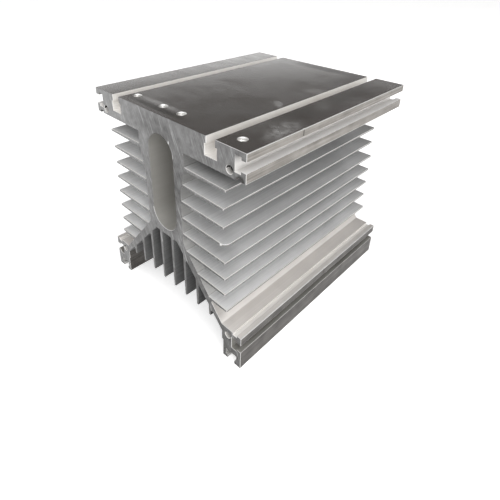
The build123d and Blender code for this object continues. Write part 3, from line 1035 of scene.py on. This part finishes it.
    def wall(self, made: np.ndarray, points: np.ndarray) -> Patch:
        """Skins one carried loop, apart from the milled lands between the broken edges.

        Args:
            made: Surface of each quad, by station and edge.
            points: The carried loop.

        Returns:
            Quads between neighbouring stations.
        """
        rows, columns = points.shape[:2]
        quads = grid_faces(rows, columns, True).reshape(rows - 1, columns, 4)
        keep = made != Surface.MILLED
        return Patch(points.reshape(-1, 3), quads[keep].tolist(), made[keep])

    def flat(self, outer: np.ndarray, inner: list[np.ndarray], surface: Surface) -> Patch:
        """Fills a flat outline around its holes with triangles.

        Args:
            outer: Points of the outline.
            inner: Points of each hole.
            surface: How the face was made.

        Returns:
            The filled face.
        """
        loops = [outer, *inner]
        triangles = tessellate_polygon([[Vector(point) for point in loop.tolist()] for loop in loops])
        faces = [list(triangle) for triangle in triangles]
        return Patch(np.concatenate(loops), faces, np.full(len(faces), surface))

    def lands(self, points: np.ndarray, surfaces: np.ndarray) -> list[Patch]:
        """Fills the milled lands between the slots, around the mouths of the holes.

        Args:
            points: The carried outline.
            surfaces: Surface of each edge of the outline.

        Returns:
            One flat patch a land.
        """
        made = []
        top = self.section.height
        for start in np.flatnonzero(surfaces == Surface.MILLED):
            left, right = points[1:-1, start], points[1:-1, (start + 1) % len(surfaces)]
            mouths = [
                np.insert(hole.mouth_loop(), 2, top, axis=1)
                for hole in self.holes
                if left[0, 0] < hole.across < right[0, 0]
            ]
            made.append(self.flat(np.concatenate((left, right[::-1])), mouths, Surface.MILLED))
        return made

    def patches(self) -> list[Patch]:
        """Builds every patch of the skin.

        Returns:
            The outer skin, the bores' linings, the sawn ends, the milled lands and the tapped holes.
        """
        outline = self.section.outline()
        surfaces = self.surfaces_of(outline)
        outer = self.nicked(self.worn(self.carried(outline)))
        made = [self.wall(self.outside(outline, surfaces), outer)]
        loops = self.section.holes()
        bores = [self.carried(loop) for loop in loops]
        made += [self.wall(self.lining(loop, loop is loops[0]), bore) for loop, bore in zip(loops, bores)]
        made += [self.flat(outer[end], [bore[end] for bore in bores], Surface.SAWN) for end in (0, -1)]
        made += self.lands(outer, surfaces)
        made += [hole.skin(self.section.height) for hole in self.holes]
        return made

    def piece(self, name: str) -> Object:
        """Welds the patches into one closed mesh and dresses it.

        Args:
            name: Name of the object.

        Returns:
            The finished piece, in metres.
        """
        patches = self.patches()
        starts = np.cumsum([0] + [len(patch.points) for patch in patches]).tolist()
        points = np.concatenate([patch.points for patch in patches]) * MM
        faces = []
        for start, patch in zip(starts, patches):
            faces += [[corner + start for corner in face] for face in patch.faces]
        mesh = bpy.data.meshes.new(name)
        mesh.from_pydata(points.tolist(), [], faces)
        mesh.polygons.foreach_set("material_index", np.concatenate([patch.surfaces for patch in patches]))
        for surface in Surface:
            mesh.materials.append(FINISHES[surface].material())
        welded = bmesh.new()
        welded.from_mesh(mesh)
        bmesh.ops.remove_doubles(welded, verts=welded.verts, dist=self.weld)
        bmesh.ops.recalc_face_normals(welded, faces=welded.faces)
        open_edges = sum(not edge.is_manifold for edge in welded.edges)
        volume = welded.calc_volume() / MM**3
        LOG.info("%s: volume %.0f cubic millimetres, %d open edges", name, volume, open_edges)
        welded.to_mesh(mesh)
        welded.free()
        mesh.polygons.foreach_set("use_smooth", np.ones(len(mesh.polygons), bool))
        mesh.set_sharp_from_angle(angle=math.radians(self.sharp_angle))
        made = placed(name, mesh)
        shading = made.modifiers.new("flats_lead_the_shading", "WEIGHTED_NORMAL")
        shading.keep_sharp = True
        shading.weight = self.flats_weight
        return made


@dataclass(frozen=True)
class SoftBox:
    """Square soft light, with its place and side in metres and its power in watts."""

    name: str
    place: tuple[float, float, float]
    side: float
    power: float

    def hang(self, aim: Vector) -> None:
        """Hangs the light.

        Args:
            aim: Point that it faces.
        """
        data = bpy.data.lights.new(self.name, "AREA")
        data.shape, data.size, data.energy = "SQUARE", self.side, self.power
        made = placed(self.name, data)
        made.location = self.place
        made.rotation_euler = (aim - Vector(self.place)).to_track_quat("-Z", "Y").to_euler()


@dataclass
class Studio:
    """Pale floor, soft lights and the camera of the photograph.

    The camera's place and lens are in millimetres, all other lengths in metres and angles in degrees.
    """

    camera_place: tuple[float, float, float] = (163.27, -183.11, 208.30)
    azimuth: float = 43.506
    elevation: float = 27.541
    roll: float = 1.434
    lens: float = 29.138
    shift: tuple[float, float] = (0.0181, -0.1734)
    room_strength: float = 0.75
    floor_tone: str = "#c4c4c4"
    floor_lift: float = 0.5
    floor_reach: float = 3.0
    floor_gap: float = 0.0002
    card_tone: str = "#6e6a67"
    card_heights: tuple[float, float] = (13.9, 75.0)
    card_slope: tuple[float, float] = (33.0, 0.09)
    card_sides: tuple[float, float] = (-15.0, 95.0)
    card_reach: float = 6.0
    card_grid: tuple[int, int] = (13, 23)
    light_aim: tuple[float, float, float] = (0.0, 0.0, 0.07)
    soft_boxes: tuple[SoftBox, ...] = (
        SoftBox("soft_box_above", (0.3, -0.3, 1.1), 0.9, 4.5),
        SoftBox("soft_box_right", (1.3, -0.55, 0.28), 0.9, 9.5),
    )

    def camera(self) -> None:
        """Sets up the camera, which looks down by its elevation from its azimuth, turned by its roll."""
        data = bpy.data.cameras.new("studio_camera")
        data.lens = self.lens
        data.shift_x, data.shift_y = self.shift
        data.clip_start, data.clip_end = 0.01, 20.0
        made = placed("studio_camera", data)
        azimuth, elevation = math.radians(self.azimuth), math.radians(self.elevation)
        away = math.cos(elevation)
        back = Vector((math.sin(azimuth) * away, -math.cos(azimuth) * away, math.sin(elevation)))
        look = (-back).to_track_quat("-Z", "Y").to_matrix().to_4x4()
        turn = look @ Matrix.Rotation(math.radians(self.roll), 4, "Z")
        made.matrix_world = Matrix.Translation(Vector(self.camera_place) * MM) @ turn
        bpy.context.scene.camera = made

    def shown(self, tree: NodeTree) -> NodeSocket:
        """Tells the rays that show the backdrop from those that light the object.

        Args:
            tree: Node tree of a material or the world.

        Returns:
            One for the rays to the camera and those that metal or glass mirrors or lets through, or zero.
        """
        rays = add_node(tree, "LightPath").outputs
        kinds = {0: rays["Is Glossy Ray"], 1: rays["Is Transmission Ray"]}
        mirrored = add_node(tree, "Math", kinds, operation="MAXIMUM").outputs[0]
        either = {0: rays["Is Camera Ray"], 1: mirrored}
        return add_node(tree, "Math", either, operation="MAXIMUM").outputs[0]

    def floor(self) -> Object:
        """Lays the floor.

        Returns:
            A square of paper, white to the camera apart from the shadow on it.
        """
        made = bpy.data.materials.new("studio_floor_paper")
        tree = empty_tree(made)
        shown = self.shown(tree)
        tones = {0: shown, 6: linear(self.floor_tone), 7: (1, 1, 1, 1)}
        tone = add_node(tree, "Mix", tones, data_type="RGBA").outputs[2]
        paper = add_node(tree, "BsdfDiffuse", {"Color": tone}).outputs[0]
        lift = add_node(tree, "Math", {0: shown, 1: self.floor_lift}, operation="MULTIPLY").outputs[0]
        glow = add_node(tree, "Emission", {"Strength": lift}).outputs[0]
        both = add_node(tree, "AddShader", {0: paper, 1: glow}).outputs[0]
        add_node(tree, "OutputMaterial", {"Surface": both})
        mesh = bpy.data.meshes.new("studio_floor")
        corners = np.array([(-1, -1, 0), (1, -1, 0), (1, 1, 0), (-1, 1, 0)]) * self.floor_reach
        mesh.from_pydata(corners.tolist(), [], [(0, 1, 2, 3)])
        mesh.materials.append(made)
        floor = placed("studio_floor", mesh)
        floor.location.z = -self.floor_gap
        return floor

    def world(self) -> None:
        """Sets a white backdrop, which lights the object as a pale room does."""
        made = bpy.context.scene.world = bpy.data.worlds.new("studio")
        tree = empty_tree(made)
        white = (1, 1, 1, 1)
        room = add_node(tree, "Background", {"Color": white, "Strength": self.room_strength}).outputs[0]
        backdrop = add_node(tree, "Background", {"Color": white, "Strength": 1.0}).outputs[0]
        mixed = add_node(tree, "MixShader", {"Fac": self.shown(tree), 1: room, 2: backdrop}).outputs[0]
        add_node(tree, "OutputWorld", {"Surface": mixed})

    def card(self) -> Object:
        """Hangs a dark card high behind the object's left, which the milled top mirrors.

        Returns:
            Part of a sphere about the object: a grid of side angle, from +Y towards -X, and height angle,
            from a lower edge that climbs evenly with the side angle up to a level top.
        """
        made = bpy.data.materials.new("studio_card_black_felt")
        tree = empty_tree(made)
        felt = add_node(tree, "BsdfDiffuse", {"Color": linear(self.card_tone)}).outputs[0]
        add_node(tree, "OutputMaterial", {"Surface": felt})
        rows, columns = self.card_grid
        low, high = self.card_heights
        level_at, slope = self.card_slope
        side, share = np.meshgrid(np.linspace(*self.card_sides, columns), np.linspace(0, 1, rows))
        edge = low + slope * (side - level_at)
        turn, climb = np.radians(side), np.radians(edge + (high - edge) * share)
        round_about = (-np.sin(turn) * np.cos(climb), np.cos(turn) * np.cos(climb), np.sin(climb))
        points = np.stack(round_about, axis=-1).reshape(-1, 3) * self.card_reach
        mesh = bpy.data.meshes.new("studio_card")
        mesh.from_pydata(points.tolist(), [], grid_faces(rows, columns, False).tolist())
        mesh.materials.append(made)
        card = placed("studio_card", mesh)
        card.visible_camera = False
        return card

    def build(self) -> None:
        """Sets the stage: the camera, the world, the floor, the card and the lights."""
        self.camera()
        self.world()
        self.floor()
        self.card()
        for soft_box in self.soft_boxes:
            soft_box.hang(Vector(self.light_aim))
        bpy.context.scene.view_settings.view_transform = "Standard"


def main() -> None:
    """Builds the heat sink and its studio."""
    logging.basicConfig(level=logging.INFO, format="%(message)s")
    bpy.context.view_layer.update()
    piece = Extrusion().piece("heat_sink_extrusion")
    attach(piece, "root")
    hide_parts(NODE)
    LOG.info("%s: %d faces", piece.name, len(piece.data.polygons))
    Studio().build()


if __name__ == "__main__":
    main()
